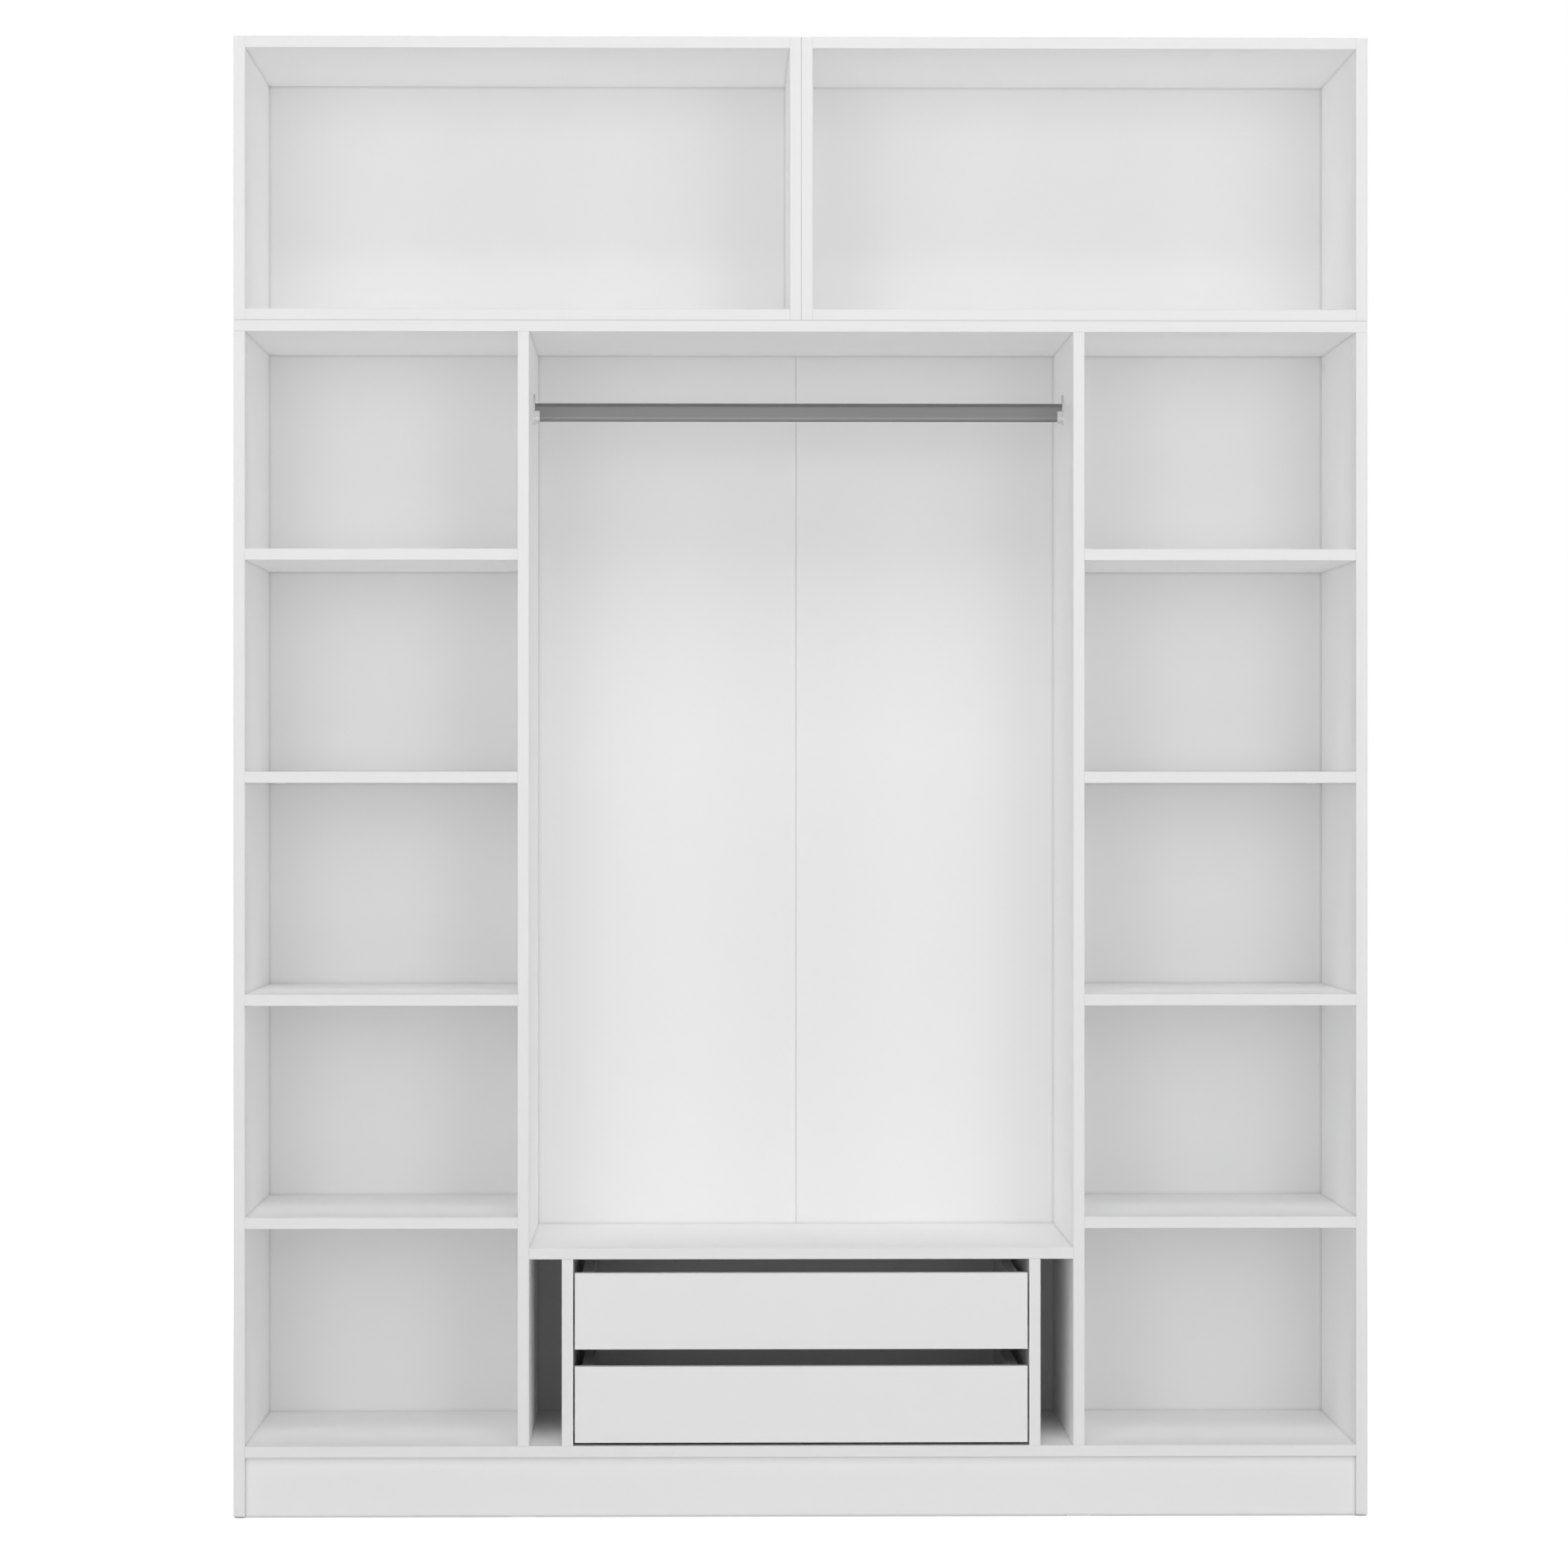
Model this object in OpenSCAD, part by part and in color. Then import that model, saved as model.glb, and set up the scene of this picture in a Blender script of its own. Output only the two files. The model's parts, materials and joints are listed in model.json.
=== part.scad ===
/* [Overall size] */
// Width over the outer faces of the side panels
width = 1800; // [1700:20:2000]
// Height from the floor to the top of the top boxes
height = 2350; // [2200:25:2500]
// Depth from the front edges to the rear edges
depth = 500; // [500:10:600]
// Thickness of every laminated board
board = 18; // [17:0.5:19]
// Height of the top boxes
box_h = 450; // [350:10:550]
// How far the arrises of the banded edges are eased
ease = 0.5; // [0.3:0.1:1]

/* [Layout] */
// Clear width of each side bay
side_bay = 432; // [400:4:440]
// Height from the floor to the underside of the carcass bottom
base_h = 96; // [80:1:140]
// How far the plinth stands back from the front edges
plinth_setback = 8; // [0:1:30]
// How far the rear plinth stands in from the rear edges
rear_plinth_inset = 20; // [16:1:60]

/* [Back] */
// Thickness of the back panels and drawer bottoms
sheet = 3; // [2.5:0.1:4]
// Distance from the back panel to the rear edges
back_inset = 15; // [13:1:18]
// Depth of the grooves that hold the sheets
groove_d = 7; // [5:0.5:8]
// Width of the batten behind the seam of the back panels
batten_w = 50; // [40:1:80]
// Thickness of the batten
batten_t = 12; // [11:1:13]

/* [Drawer unit] */
// Clear height under the drawer unit's top
unit_h = 296; // [290:2:340]
// Width of the open space between divider and upright
side_slot = 52; // [40:1:60]
// Gap at each end of a drawer front
front_end_gap = 2.5; // [2:0.5:4]
// Gap under each drawer front
front_low_gap = 5; // [3:1:6]
// Finger gap over each drawer front
grip_gap = 22; // [18:1:26]
// How far the drawer sides stop below the top of the front
side_drop = 7; // [5:1:10]
// Height of the drawer sides
drawer_side_h = 100; // [96:1:105]
// Length of the drawer sides behind the front
drawer_len = 450; // [430:5:455]
// Height of the drawer bottom over the lower edge of the sides
bottom_lift = 10; // [8:1:11]
// Travel of each drawer
travel = 340; // [250:10:345]

/* [Slides and rollers] */
// Room between a drawer side and its upright
slide_gap = 12.5; // [12.3:0.1:13]
// Thickness of the slide steel
steel = 1.2; // [1:0.1:1.3]
// Diameter of the rollers
roller_d = 18; // [16:0.5:18]
// Width of the rollers
roller_w = 6.2; // [5.5:0.1:6.4]
// Radius of the riveted axles
axle_r = 2.5; // [2:0.1:3]
// Running clearance of a roller on its axle
axle_fit = 0.05; // [0.03:0.01:0.09]
// Free play between a roller and its track
track_play = 0.3; // [0.2:0.05:0.4]

/* [Clothes rail] */
// Height of the oval rail
rail_h = 30; // [26:1:34]
// Thickness of the oval rail
rail_w = 15; // [12:1:18]
// Wall of the rail tube
rail_wall = 1; // [0.8:0.1:1.5]
// Distance from the carcass top's underside to the middle of the rail
rail_drop = 112; // [90:1:160]
// How far each rail support stands out from its divider
support_reach = 10; // [8:0.5:16]

/* [Fittings] */
// Distance from a joint to the middle of its cam
cam_set = 24; // [22:1:34]
// Distance of the outer cams from the front edge and from the back panel
cam_end = 50; // [40:1:80]
// Distance from a cam to the dowel beside it
dowel_step = 32; // [24:1:40]
// Diameter of the dowels
dowel_d = 8; // [6:0.5:8]
// Length of the dowels
dowel_len = 30; // [26:1:30]
// Thickness of the floor glides
glide_t = 3; // [2:0.5:5]

/* [Hidden] */
$fn = 48;
LEFT = [-1, 0, 0];
RIGHT = [1, 0, 0];
FRONT = [0, -1, 0];
REAR = [0, 1, 0];
DOWN = [0, 0, -1];
UP = [0, 0, 1];
SHELF_COUNT = 4;
SLOT_COUNT = 2;

// Colours of the real pieces
board_colour = "whitesmoke";
sheet_colour = "gainsboro";
steel_colour = "silver";
rail_colour = "gray";
dowel_colour = "burlywood";
plastic_colour = "white";

// Levels, from the floor up
z_floor = base_h + board;
z_top = height - box_h - board;
z_box = height - box_h;
z_box_floor = z_box + board;
z_box_top = height - board;
shelf_pitch = (z_top - z_floor) / (SHELF_COUNT + 1);
function shelf_z(n) = z_floor + n * shelf_pitch;

// Places across the width, on the right-hand half
x_side = width / 2 - board;
x_div_out = x_side - side_bay;
x_div_in = x_div_out - board;
x_up_out = x_div_in - side_slot;
x_up_in = x_up_out - board;

// Places along the depth, from front to rear
y_front = -depth / 2;
y_rear = depth / 2;
y_back = y_rear - back_inset - sheet;
y_plinth = y_front + plinth_setback;
y_rear_plinth = y_rear - rear_plinth_inset - board;

// Sheets slide in their grooves with a little play
sheet_play = 0.2;
sheet_end_play = 0.5;
seam_gap = 0.5;

// Drawer unit
z_unit = z_floor + unit_h;
slot_h = unit_h / SLOT_COUNT;
front_h = slot_h - front_low_gap - grip_gap;
function front_z(n) = z_floor + n * slot_h + front_low_gap;
function side_z(n) = front_z(n) + front_h - side_drop - drawer_side_h;
x_front = x_up_in - front_end_gap;
x_box = x_up_in - slide_gap;
x_box_in = x_box - board;
y_box = y_front + board;
y_box_end = y_box + drawer_len;

// Slides: heights are counted from the underside of the drawer slide
roller_r = roller_d / 2;
channel_h = 2 * steel + roller_d + 3 * track_play;
lip_gap = 0.5;
lip_z = channel_h + lip_gap;
rear_roller_z = steel + track_play + roller_r;
front_roller_z = lip_z - track_play - roller_r;
function slide_z(n) = side_z(n) - steel;
x_web = x_up_in - steel;
x_drawer_web = x_box + steel;
flange_gap = 1.6;
x_flange = x_drawer_web + flange_gap;
collar = 2.2;
rivet_play = 0.2;
web_play = 0.4;
head_t = 1;
head_rim = 1.7;
head_r = axle_r + head_rim;
slide_start = 3;
y_slide = y_box + slide_start;
y_slide_end = y_slide + drawer_len;
front_axle_in = 13;
rear_axle_in = 14;
y_front_roller = y_slide + front_axle_in;
y_rear_roller = y_box_end - rear_axle_in;
pocket = front_axle_in + roller_r + 7;
stop_h = 8;
under_w = 14;
slide_screws = [0.17, 0.5, 0.82];
drawer_screw_z = 17.5;

// Rail and its supports
z_rail = z_top - rail_drop;
y_rail = (y_front + y_back) / 2;
cup_wall = 2;
cup_fit = 0.15;
cup_rise = 2;
plate_t = 2.5;
plate_rim = 4.5;
tab_h = 15;
plate_w = rail_w + 2 * plate_rim;
plate_up = rail_h / 2 + tab_h;
plate_down = rail_h / 2 + plate_rim;
support_screw_z = rail_h / 2 + tab_h / 2;
rail_end_play = 0.2;
peg_r = 2.5;
peg_len = 8;

// Cam fittings, dowels and screws
fit = 0.05;
cut = 1;
cam_r = 7.5;
cam_past_middle = 4.5;
cam_bore_d = board / 2 + cam_past_middle;
cam_play = 0.1;
cam_sunk = 0.3;
bolt_bore_r = 4;
thread_r = 2.5;
thread_len = 11;
bolt_collar_t = 1.2;
bolt_shank_r = 3;
bolt_neck_r = 1.8;
bolt_neck_len = 2.5;
bolt_head_r = 3.2;
bolt_head_back = 1.5;
dowel_r = dowel_d / 2;
dowel_face = dowel_len / 3;
screw_r = 1.75;
screw_head_r = 3.4;
screw_head_t = 2;
screw_len = 16;
glide_w = 16;
glide_len = 40;
glide_pin_r = 1.5;
glide_pin_len = 12;
glide_end = 30;

// A joint is [point on its face, direction into the edge board, way the cam faces, cam offsets, dowel offsets]
deep_cams = [[0, y_front + cam_end, 0], [0, y_back - cam_end, 0]];
deep_dowels = [[0, y_front + cam_end + dowel_step, 0], [0, y_back - cam_end - dowel_step, 0]];
function deep_joint(x, z, into, cam_way) = [[x, 0, z], into, cam_way, deep_cams, deep_dowels];
function plinth_joint(y, cam_way) =
    [[x_side, y, (glide_t + base_h) / 2], LEFT, cam_way, [[0, 0, dowel_step / 2]], [[0, 0, -dowel_step / 2]]];

// Joints of the right-hand half
shelf_side_joints = [for (n = [1:SHELF_COUNT]) deep_joint(x_side, shelf_z(n), LEFT, DOWN)];
shelf_divider_joints = [for (n = [1:SHELF_COUNT]) deep_joint(x_div_out, shelf_z(n), RIGHT, DOWN)];
bottom_joint = deep_joint(x_side, base_h + board / 2, LEFT, DOWN);
top_side_joint = deep_joint(x_side + board / 2, z_top, DOWN, LEFT);
top_divider_joint = deep_joint(x_div_in + board / 2, z_top, DOWN, RIGHT);
foot_divider_joint = deep_joint(x_div_in + board / 2, z_floor, UP, RIGHT);
unit_joint = deep_joint(x_div_in, z_unit + board / 2, LEFT, DOWN);
upright_top_joint = deep_joint(x_up_in + board / 2, z_unit, DOWN, RIGHT);
upright_foot_joint = deep_joint(x_up_in + board / 2, z_floor, UP, RIGHT);
front_plinth_joint = plinth_joint(y_plinth + board / 2, REAR);
rear_plinth_joint = plinth_joint(y_rear_plinth + board / 2, FRONT);
box_outer_joints = [
    deep_joint(x_side, z_box + board / 2, LEFT, DOWN),
    deep_joint(x_side, z_box_top + board / 2, LEFT, UP)
];
box_inner_joints = [
    deep_joint(board, z_box + board / 2, RIGHT, DOWN),
    deep_joint(board, z_box_top + board / 2, RIGHT, UP)
];
cabinet_joints = concat(
    shelf_side_joints, shelf_divider_joints, box_outer_joints, box_inner_joints,
    [bottom_joint, top_side_joint, top_divider_joint, foot_divider_joint, unit_joint],
    [upright_top_joint, upright_foot_joint, front_plinth_joint, rear_plinth_joint]
);

// Joints with dowels alone: plinths under the carcass bottom, and the batten at the middle
level_dowel_x = [x_div_in / 2, (x_div_out + x_side) / 2];
function under_joint(y) = [[0, y, base_h], DOWN, REAR, [], [for (x = level_dowel_x) [x, 0, 0]]];
under_joints = [under_joint(y_plinth + board / 2), under_joint(y_rear_plinth + board / 2)];
y_batten = y_back + sheet + batten_t / 2;
batten_joints = [
    [[0, y_batten, z_floor], UP, RIGHT, [], [[0, 0, 0]]],
    [[0, y_batten, z_top], DOWN, RIGHT, [], [[0, 0, 0]]]
];

// Dowels that locate stacked boards, half in each
stack_ys = [y_front + 2 * cam_end, y_back - 2 * cam_end];
box_stack = [for (x = level_dowel_x, y = stack_ys) [[x, y, z_box], UP, RIGHT]];
middle_stack = [for (y = stack_ys) [[0, y, z_box + box_h / 2], RIGHT, UP]];

// Drawer corners, with dowels alone
corner_shares = [0.35, 0.75];
corner_heights = corner_shares * drawer_side_h;
function front_corner(n) =
    [[x_box_in + board / 2, y_box, side_z(n)], REAR, UP, [], [for (h = corner_heights) [0, 0, h]]];
function back_corner(n) =
    [[x_box_in, y_box_end - board / 2, side_z(n)], LEFT, UP, [], [for (h = corner_heights) [0, 0, h]]];
function drawer_corners(n) = [front_corner(n), back_corner(n)];

// Screws: [point under the head, direction into the board, any way across]
function cabinet_slide_screws(n) = [
    for (s = slide_screws)
        [[x_web, y_slide + s * drawer_len, slide_z(n) + channel_h / 2], RIGHT, UP]
];
function drawer_slide_screws(n) = [
    for (s = slide_screws)
        [[x_drawer_web, y_box + s * drawer_len, slide_z(n) + drawer_screw_z], LEFT, UP]
];
support_screw = [[x_div_in - plate_t, y_rail, z_rail + support_screw_z], RIGHT, UP];

// Box from its low corner to its high corner
module slab(low, high) {
    translate(low) cube(high - low);
}

// Section of a board whose low edge, at x = 0, has both arrises eased
module section(depth_in, thick) {
    polygon([[0, ease], [ease, 0], [depth_in, 0], [depth_in, thick], [ease, thick], [0, thick - ease]]);
}

// Board that stands upright, with its front edge eased
module standing_board(low, high) {
    size = high - low;
    translate([high.x, low.y, low.z])
        linear_extrude(height = size.z) rotate(90) section(size.y, size.x);
}

// Board that lies level, with its front edge eased
module level_board(low, high) {
    size = high - low;
    translate(low) along_x(0, size.x) section(size.y, size.z);
}

// Board on its edge along X, with its top edge eased
module cross_board(low, high) {
    size = high - low;
    translate([low.x, low.y, high.z]) along_x(0, size.x) rotate(-90) section(size.z, size.y);
}

// Board on its edge along Y, with its top edge eased
module lengthwise_board(low, high) {
    size = high - low;
    translate([low.x, high.y, high.z])
        rotate([90, 0, 0]) linear_extrude(height = size.y) rotate(-90) section(size.z, size.x);
}

// Round bar along X
module bar(x0, x1, r) {
    translate([x0, 0, 0]) rotate([0, 90, 0]) cylinder(h = x1 - x0, r = r);
}

// The right-hand piece as its mirror image on the left
module on_left() {
    mirror([1, 0, 0]) children();
}

// The right-hand half and its mirror image
module both_sides() {
    children();
    mirror([1, 0, 0]) children();
}

// Turn X into a station's direction and Z into its second direction, at its point
module at(station) {
    p = station[0];
    d = station[1];
    u = station[2];
    v = cross(u, d);
    multmatrix([[d.x, v.x, u.x, p.x], [d.y, v.y, u.y, p.y], [d.z, v.z, u.z, p.z], [0, 0, 0, 1]])
        children();
}

function cams_of(joint) = [for (o = joint[3]) [joint[0] + o, joint[1], joint[2]]];
function dowels_of(joint) = [for (o = joint[4]) [joint[0] + o, joint[1], joint[2]]];

// Bores in the board whose face meets the joint
module face_bores(joints) {
    for (joint = joints) {
        for (s = cams_of(joint)) at(s) bar(-thread_len, cut, thread_r + fit);
        for (s = dowels_of(joint)) at(s) bar(-dowel_face, cut, dowel_r + fit);
    }
}

// Bores in the board whose edge meets the joint
module edge_bores(joints) {
    for (joint = joints) {
        for (s = cams_of(joint)) at(s) {
            bar(-cut, cam_set, bolt_bore_r);
            translate([cam_set, 0, board / 2 - cam_bore_d]) cylinder(h = cam_bore_d + cut, r = cam_r);
        }
        for (s = dowels_of(joint)) at(s) bar(-cut, dowel_len - dowel_face, dowel_r + fit);
    }
}

module stack_bores(stations) {
    for (s = stations) at(s) bar(-dowel_len / 2, dowel_len / 2, dowel_r + fit);
}

// Cam with a passage for the bolt's head and a cross slot in its face
module cam_lock() {
    low = board / 2 - cam_bore_d;
    high = board / 2 - cam_sunk;
    slot = [9, 1.6, 2.4];
    head_play = 0.4;
    difference() {
        translate([cam_set, 0, low]) cylinder(h = high - low, r = cam_r - cam_play);
        bar(0, cam_set + bolt_head_r, bolt_head_r + head_play);
        translate([cam_set, 0, high]) cube(slot, center = true);
        translate([cam_set, 0, high]) rotate([0, 0, 90]) cube(slot, center = true);
    }
}

// Bolt with a threaded end, a collar, a shank, a neck and a head
module cam_bolt() {
    head_start = cam_set - bolt_head_back;
    neck_start = head_start - bolt_neck_len;
    bar(-thread_len, bolt_collar_t, thread_r);
    bar(0, bolt_collar_t, bolt_bore_r - 2 * fit);
    bar(0, neck_start, bolt_shank_r);
    bar(neck_start, head_start, bolt_neck_r);
    bar(head_start, cam_set + bolt_neck_r, bolt_head_r);
}

module dowel() {
    bar(-dowel_face, dowel_len - dowel_face, dowel_r);
}

// Countersunk screw, its head flush at zero
module screw(extra = 0) {
    rotate([0, 90, 0]) cylinder(h = screw_head_t, r1 = screw_head_r + extra, r2 = screw_r + extra);
    bar(screw_head_t / 2, screw_len, screw_r + extra);
}

module slotted_screw() {
    slot = [1.6, 0.9, 4];
    difference() {
        screw();
        cube(slot, center = true);
        rotate([90, 0, 0]) cube(slot, center = true);
    }
}

module screw_bores(stations) {
    for (s = stations) at(s) {
        screw(fit);
        bar(-cut, fit, screw_head_r + fit);
    }
}

// Groove that holds a back panel
module back_groove(low_x, high_x, low_z, high_z) {
    slab([low_x, y_back, low_z], [high_x, y_back + sheet + sheet_play, high_z]);
}

module side_panel() {
    color(board_colour) difference() {
        standing_board([x_side, y_front, glide_t], [width / 2, y_rear, z_top]);
        back_groove(x_side - cut, x_side + groove_d, z_floor - groove_d, z_top + cut);
        face_bores(concat(shelf_side_joints, [bottom_joint, front_plinth_joint, rear_plinth_joint]));
        edge_bores([top_side_joint]);
        side_glide_bores();
    }
}

module divider() {
    color(board_colour) difference() {
        standing_board([x_div_in, y_front, z_floor], [x_div_out, y_back, z_top]);
        face_bores(concat(shelf_divider_joints, [unit_joint]));
        edge_bores([top_divider_joint, foot_divider_joint]);
        screw_bores([support_screw]);
        translate([x_div_in, y_rail, z_rail - rail_w / 2]) bar(-cut, peg_len, peg_r + fit);
    }
}

module carcass_top() {
    color(board_colour) difference() {
        level_board([-width / 2, y_front, z_top], [width / 2, y_rear, z_box]);
        back_groove(-x_side - groove_d, x_side + groove_d, z_top - cut, z_top + groove_d);
        both_sides() face_bores([top_side_joint, top_divider_joint]);
        both_sides() stack_bores(box_stack);
        face_bores([batten_joints[1]]);
    }
}

module carcass_bottom() {
    color(board_colour) difference() {
        level_board([-x_side, y_front, base_h], [x_side, y_rear, z_floor]);
        back_groove(-x_side - cut, x_side + cut, z_floor - groove_d, z_floor + cut);
        both_sides() edge_bores([bottom_joint]);
        both_sides() face_bores(concat(under_joints, [foot_divider_joint, upright_foot_joint]));
        face_bores([batten_joints[0]]);
    }
}

module front_plinth() {
    color(board_colour) difference() {
        slab([-x_side, y_plinth, glide_t], [x_side, y_plinth + board, base_h]);
        both_sides() edge_bores([front_plinth_joint, under_joints[0]]);
        plinth_glide_bores(y_plinth + board / 2);
    }
}

module rear_plinth() {
    color(board_colour) difference() {
        slab([-x_side, y_rear_plinth, glide_t], [x_side, y_rear_plinth + board, base_h]);
        both_sides() edge_bores([rear_plinth_joint, under_joints[1]]);
        plinth_glide_bores(y_rear_plinth + board / 2);
    }
}

module shelf(n) {
    z = shelf_z(n) - board / 2;
    color(board_colour) difference() {
        level_board([x_div_out, y_front, z], [x_side, y_back, z + board]);
        edge_bores([shelf_side_joints[n - 1], shelf_divider_joints[n - 1]]);
    }
}

module drawer_unit_top() {
    color(board_colour) difference() {
        level_board([-x_div_in, y_front, z_unit], [x_div_in, y_back, z_unit + board]);
        both_sides() edge_bores([unit_joint]);
        both_sides() face_bores([upright_top_joint]);
    }
}

module upright() {
    color(board_colour) difference() {
        standing_board([x_up_in, y_front, z_floor], [x_up_out, y_back, z_unit]);
        edge_bores([upright_top_joint, upright_foot_joint]);
        for (n = [0:SLOT_COUNT - 1]) screw_bores(cabinet_slide_screws(n));
    }
}

module back_panel() {
    color(sheet_colour)
        slab(
            [seam_gap / 2, y_back, z_floor - groove_d],
            [x_side + groove_d - sheet_end_play, y_back + sheet, z_top + groove_d - sheet_end_play]
        );
}

module back_batten() {
    color(board_colour) difference() {
        slab([-batten_w / 2, y_back + sheet, z_floor], [batten_w / 2, y_back + sheet + batten_t, z_top]);
        edge_bores(batten_joints);
    }
}

module box_outer_side() {
    color(board_colour) difference() {
        standing_board([x_side, y_front, z_box], [width / 2, y_rear, height]);
        back_groove(x_side - cut, x_side + groove_d, z_box_floor - groove_d, z_box_top + groove_d);
        face_bores(box_outer_joints);
    }
}

module box_inner_side() {
    color(board_colour) difference() {
        standing_board([0, y_front, z_box], [board, y_rear, height]);
        back_groove(board - groove_d, board + cut, z_box_floor - groove_d, z_box_top + groove_d);
        face_bores(box_inner_joints);
        stack_bores(middle_stack);
    }
}

module box_top() {
    color(board_colour) difference() {
        level_board([board, y_front, z_box_top], [x_side, y_rear, height]);
        back_groove(board - cut, x_side + cut, z_box_top - cut, z_box_top + groove_d);
        edge_bores([box_outer_joints[1], box_inner_joints[1]]);
    }
}

module box_bottom() {
    color(board_colour) difference() {
        level_board([board, y_front, z_box], [x_side, y_rear, z_box_floor]);
        back_groove(board - cut, x_side + cut, z_box_floor - groove_d, z_box_floor + cut);
        edge_bores([box_outer_joints[0], box_inner_joints[0]]);
        stack_bores(box_stack);
    }
}

module box_back() {
    color(sheet_colour)
        slab(
            [board - groove_d + sheet_end_play, y_back, z_box_floor - groove_d],
            [x_side + groove_d - sheet_end_play, y_back + sheet, z_box_top + groove_d - sheet_end_play]
        );
}

// Outline with straight sides and round ends, upright
module oval(w, h) {
    square([w, h - w], center = true);
    for (s = [-1, 1]) translate([0, s * (h - w) / 2]) circle(d = w);
}

// Outline in the YZ plane carried along X
module along_x(x0, x1) {
    translate([x0, 0, 0]) rotate([90, 0, 90]) linear_extrude(height = x1 - x0) children();
}

module clothes_rail() {
    half = x_div_in - plate_t - rail_end_play;
    color(rail_colour) translate([0, y_rail, z_rail]) along_x(-half, half) difference() {
        oval(rail_w, rail_h);
        oval(rail_w - 2 * rail_wall, rail_h - 2 * rail_wall);
    }
}

// Plate with a screw tab above, and an open cup that carries the lower half of the rail
module rail_support() {
    outer_w = rail_w + 2 * (cup_fit + cup_wall);
    color(steel_colour) difference() {
        translate([0, y_rail, z_rail]) {
            along_x(x_div_in - plate_t, x_div_in)
                translate([0, (plate_up - plate_down) / 2]) oval(plate_w, plate_up + plate_down);
            along_x(x_div_in - support_reach, x_div_in) difference() {
                oval(outer_w, rail_h + 2 * cup_wall);
                translate([0, cup_fit]) oval(rail_w + 2 * cup_fit, rail_h + 2 * cup_fit);
                translate([-rail_h, cup_rise]) square([2 * rail_h, rail_h]);
            }
            translate([x_div_in, 0, -rail_w / 2]) bar(-plate_t, peg_len, peg_r);
        }
        screw_bores([support_screw]);
    }
}

module rail_supports() {
    both_sides() rail_support();
}

module drawer_front(n) {
    low = side_z(n) + bottom_lift;
    corners = [[-x_front, y_front, front_z(n)], [x_front, y_box, front_z(n) + front_h]];
    color(board_colour) difference() {
        intersection() {
            level_board(corners[0], corners[1]);
            standing_board(corners[0], corners[1]);
        }
        slab(
            [-x_box_in - groove_d, y_box - groove_d, low],
            [x_box_in + groove_d, y_box + cut, low + sheet + sheet_play]
        );
        both_sides() face_bores([front_corner(n)]);
    }
}

module drawer_side(n) {
    z = side_z(n);
    low = z + bottom_lift;
    color(board_colour) difference() {
        lengthwise_board([x_box_in, y_box, z], [x_box, y_box_end, z + drawer_side_h]);
        slab(
            [x_box_in - cut, y_box - cut, low],
            [x_box_in + groove_d, y_box_end + cut, low + sheet + sheet_play]
        );
        edge_bores([front_corner(n)]);
        face_bores([back_corner(n)]);
        screw_bores(drawer_slide_screws(n));
    }
}

module drawer_back(n) {
    z = side_z(n);
    color(board_colour) difference() {
        cross_board(
            [-x_box_in, y_box_end - board, z + bottom_lift + sheet],
            [x_box_in, y_box_end, z + drawer_side_h]
        );
        both_sides() edge_bores([back_corner(n)]);
    }
}

module drawer_bottom(n) {
    low = side_z(n) + bottom_lift;
    half = x_box_in + groove_d - sheet_end_play;
    color(sheet_colour)
        slab([-half, y_box - groove_d + sheet_end_play, low], [half, y_box_end, low + sheet]);
}

// Channel on the upright, with a stop at each end of the travel and the front roller's axle
module cabinet_slide(n) {
    z = slide_z(n);
    rear_stop = y_rear_roller + roller_r + track_play;
    front_stop = y_rear_roller - travel - roller_r - track_play;
    x_head = x_web - web_play - roller_w - rivet_play;
    color(steel_colour) difference() {
        union() {
            slab([x_web, y_slide, z], [x_up_in, y_slide_end, z + channel_h]);
            slab([x_flange, y_slide, z], [x_up_in, y_slide_end, z + steel]);
            slab([x_flange, y_slide + pocket, z + channel_h - steel], [x_up_in, y_slide_end, z + channel_h]);
            slab([x_flange, rear_stop, z], [x_up_in, rear_stop + steel, z + stop_h]);
            slab(
                [x_flange, front_stop - steel, z + channel_h - stop_h],
                [x_up_in, front_stop, z + channel_h]
            );
            translate([0, y_front_roller, z + front_roller_z]) {
                bar(x_head - head_t, x_up_in, axle_r);
                bar(x_head - head_t, x_head, head_r);
            }
        }
        screw_bores(cabinet_slide_screws(n));
    }
}

module cabinet_slides() {
    both_sides() for (n = [0:SLOT_COUNT - 1]) cabinet_slide(n);
}

// Angle under the drawer side, with a lip that runs on the front roller and the rear roller's axle
module drawer_slide(n) {
    z = slide_z(n);
    x_roller = x_drawer_web + collar;
    x_head = x_roller + roller_w + rivet_play;
    color(steel_colour) difference() {
        union() {
            slab([x_box, y_box, z], [x_drawer_web, y_box_end, z + lip_z + steel]);
            slab([x_box - under_w, y_box, z], [x_drawer_web, y_box_end, z + steel]);
            slab([x_box, y_box, z + lip_z], [x_up_in - front_end_gap / 2, y_box_end, z + lip_z + steel]);
            translate([0, y_rear_roller, z + rear_roller_z]) {
                bar(x_box, x_head + head_t, axle_r);
                bar(x_box, x_roller - rivet_play, head_r);
                bar(x_head, x_head + head_t, head_r);
            }
        }
        screw_bores(drawer_slide_screws(n));
    }
}

module drawer_slides(n) {
    both_sides() drawer_slide(n);
}

// Roller with a hub, a thin web and a rim
module roller() {
    hub_r = axle_r + 2;
    rim = 1.8;
    dish = 1.2;
    color(plastic_colour) difference() {
        bar(0, roller_w, roller_r);
        bar(-cut, roller_w + cut, axle_r + axle_fit);
        for (x = [0, roller_w]) difference() {
            bar(x - dish, x + dish, roller_r - rim);
            bar(x - 2 * dish, x + 2 * dish, hub_r);
        }
    }
}

module front_rollers(n) {
    x = x_web - web_play - roller_w;
    both_sides() translate([x, y_front_roller, slide_z(n) + front_roller_z]) roller();
}

module rear_rollers(n) {
    x = x_drawer_web + collar;
    both_sides() translate([x, y_rear_roller, slide_z(n) + rear_roller_z]) roller();
}

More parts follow.
